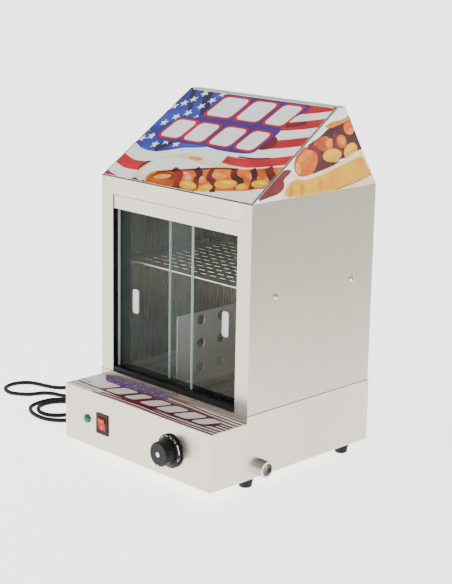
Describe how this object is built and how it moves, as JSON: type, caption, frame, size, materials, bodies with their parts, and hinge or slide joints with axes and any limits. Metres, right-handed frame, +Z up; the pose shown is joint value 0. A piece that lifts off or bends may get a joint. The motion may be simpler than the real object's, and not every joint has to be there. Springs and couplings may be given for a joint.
{
  "type": "hot dog steamer and display warmer",
  "caption": "Counter-top hot dog steamer: steel base with tank and drain, control box in front, sliding glass doors, shelf and pitched roof with a lid.",
  "frame": {"origin": "under the middle of the outline, on the surface that the feet stand on", "axes": "+Z up, +X to the right as the user faces the doors, -Y out of the front with the controls"},
  "size_m": [0.6228, 0.4713, 0.531],
  "materials": {
    "brushed_steel": "brushed, satin",
    "inner_steel": "satin",
    "fixings": "bright",
    "socket_steel": "turned",
    "printed_film": "printed",
    "black_channel": "satin",
    "door_glass": "clear",
    "frosted_pull": "frosted",
    "black_dial": "satin",
    "bright_cap": "polished",
    "brass_fittings": "plain",
    "heater_sheath": "dull",
    "thermostat_case": "dull",
    "switch_black": "satin",
    "switch_red": "gloss",
    "pilot_green": "clear",
    "pale_insulator": "matt",
    "foot_rubber": "matt",
    "cord_black": "satin"
  },
  "bodies": {
    "root": {"base_housing": "brushed_steel", "bottom_cover": "inner_steel", "control_box": "brushed_steel", "control_box_floor": "inner_steel", "control_film": "printed_film", "left_side": "brushed_steel", "right_side": "brushed_steel", "back_panel": "brushed_steel", "rear_roof": "brushed_steel", "ridge_cap": "brushed_steel", "left_stile": "brushed_steel", "right_stile": "brushed_steel", "top_rail": "brushed_steel", "header_strip": "brushed_steel", "door_sill": "inner_steel", "bottom_track": "black_channel", "top_track": "black_channel", "left_jamb": "black_channel", "right_jamb": "black_channel", "gable_films": "printed_film", "hinge_roof_leaf": "fixings", "hinge_pin": "fixings", "shelf_brackets": "inner_steel", "side_bolts": "fixings", "side_nuts": "fixings", "middle_rail": "inner_steel", "partition": "inner_steel", "water_tank": "inner_steel", "heating_element": "heater_sheath", "element_nuts": "brass_fittings", "thermostat_bulb": "brass_fittings", "thermostat_body": "thermostat_case", "switch_bezel": "switch_black", "pilot_lens": "pilot_green", "pilot_body": "pale_insulator", "drain_socket": "socket_steel", "drain_fittings": "brass_fittings", "feet": "foot_rubber", "foot_screws": "fixings", "terminal_block": "pale_insulator", "supply_lead": "cord_black", "control_wires": "cord_black", "strain_relief": "cord_black", "cord": "cord_black", "plug": "cord_black"},
    "left_door": {"left_door_glass": "door_glass", "left_door_pull": "frosted_pull"},
    "right_door": {"right_door_glass": "door_glass", "right_door_pull": "frosted_pull"},
    "roof_lid": {"roof_lid": "brushed_steel", "roof_film": "printed_film", "hinge_lid_leaf": "fixings"},
    "shelf": {"shelf": "inner_steel"},
    "left_tray": {"left_tray": "inner_steel"},
    "right_tray": {"right_tray": "inner_steel"},
    "dial": {"dial_skirt": "black_dial", "dial_knob": "black_dial", "dial_cap": "bright_cap", "dial_shaft": "brass_fittings"},
    "rocker": {"switch_rocker": "switch_red"}
  },
  "joints": [
    {"name": "left_door_slide", "type": "slide", "parent": "root", "child": "left_door", "axis": [1, 0, 0], "range_m": [0, 0.1003]},
    {"name": "right_door_slide", "type": "slide", "parent": "root", "child": "right_door", "axis": [-1, 0, 0], "range_m": [0, 0.1003]},
    {"name": "roof_lid_hinge", "type": "hinge", "parent": "root", "child": "roof_lid", "pos_m": [-0.00588, 0.09275, 0.52925], "axis": [-1, 0, 0], "range_deg": [0, 100]},
    {"name": "shelf_lift", "type": "slide", "parent": "root", "child": "shelf", "axis": [0, 0, 1], "range_m": [0, 0.08]},
    {"name": "left_tray_lift", "type": "slide", "parent": "root", "child": "left_tray", "axis": [0, 0, 1], "range_m": [0, 0.03]},
    {"name": "right_tray_lift", "type": "slide", "parent": "root", "child": "right_tray", "axis": [0, 0, 1], "range_m": [0, 0.03]},
    {"name": "dial_turn", "type": "hinge", "parent": "root", "child": "dial", "pos_m": [0.07112, -0.1545, 0.057], "axis": [0, 1, 0], "range_deg": [0, 280]},
    {"name": "rocker_tilt", "type": "hinge", "parent": "root", "child": "rocker", "pos_m": [-0.07787, -0.1523, 0.057], "axis": [-1, 0, 0], "range_deg": [0, 16]}
  ]
}
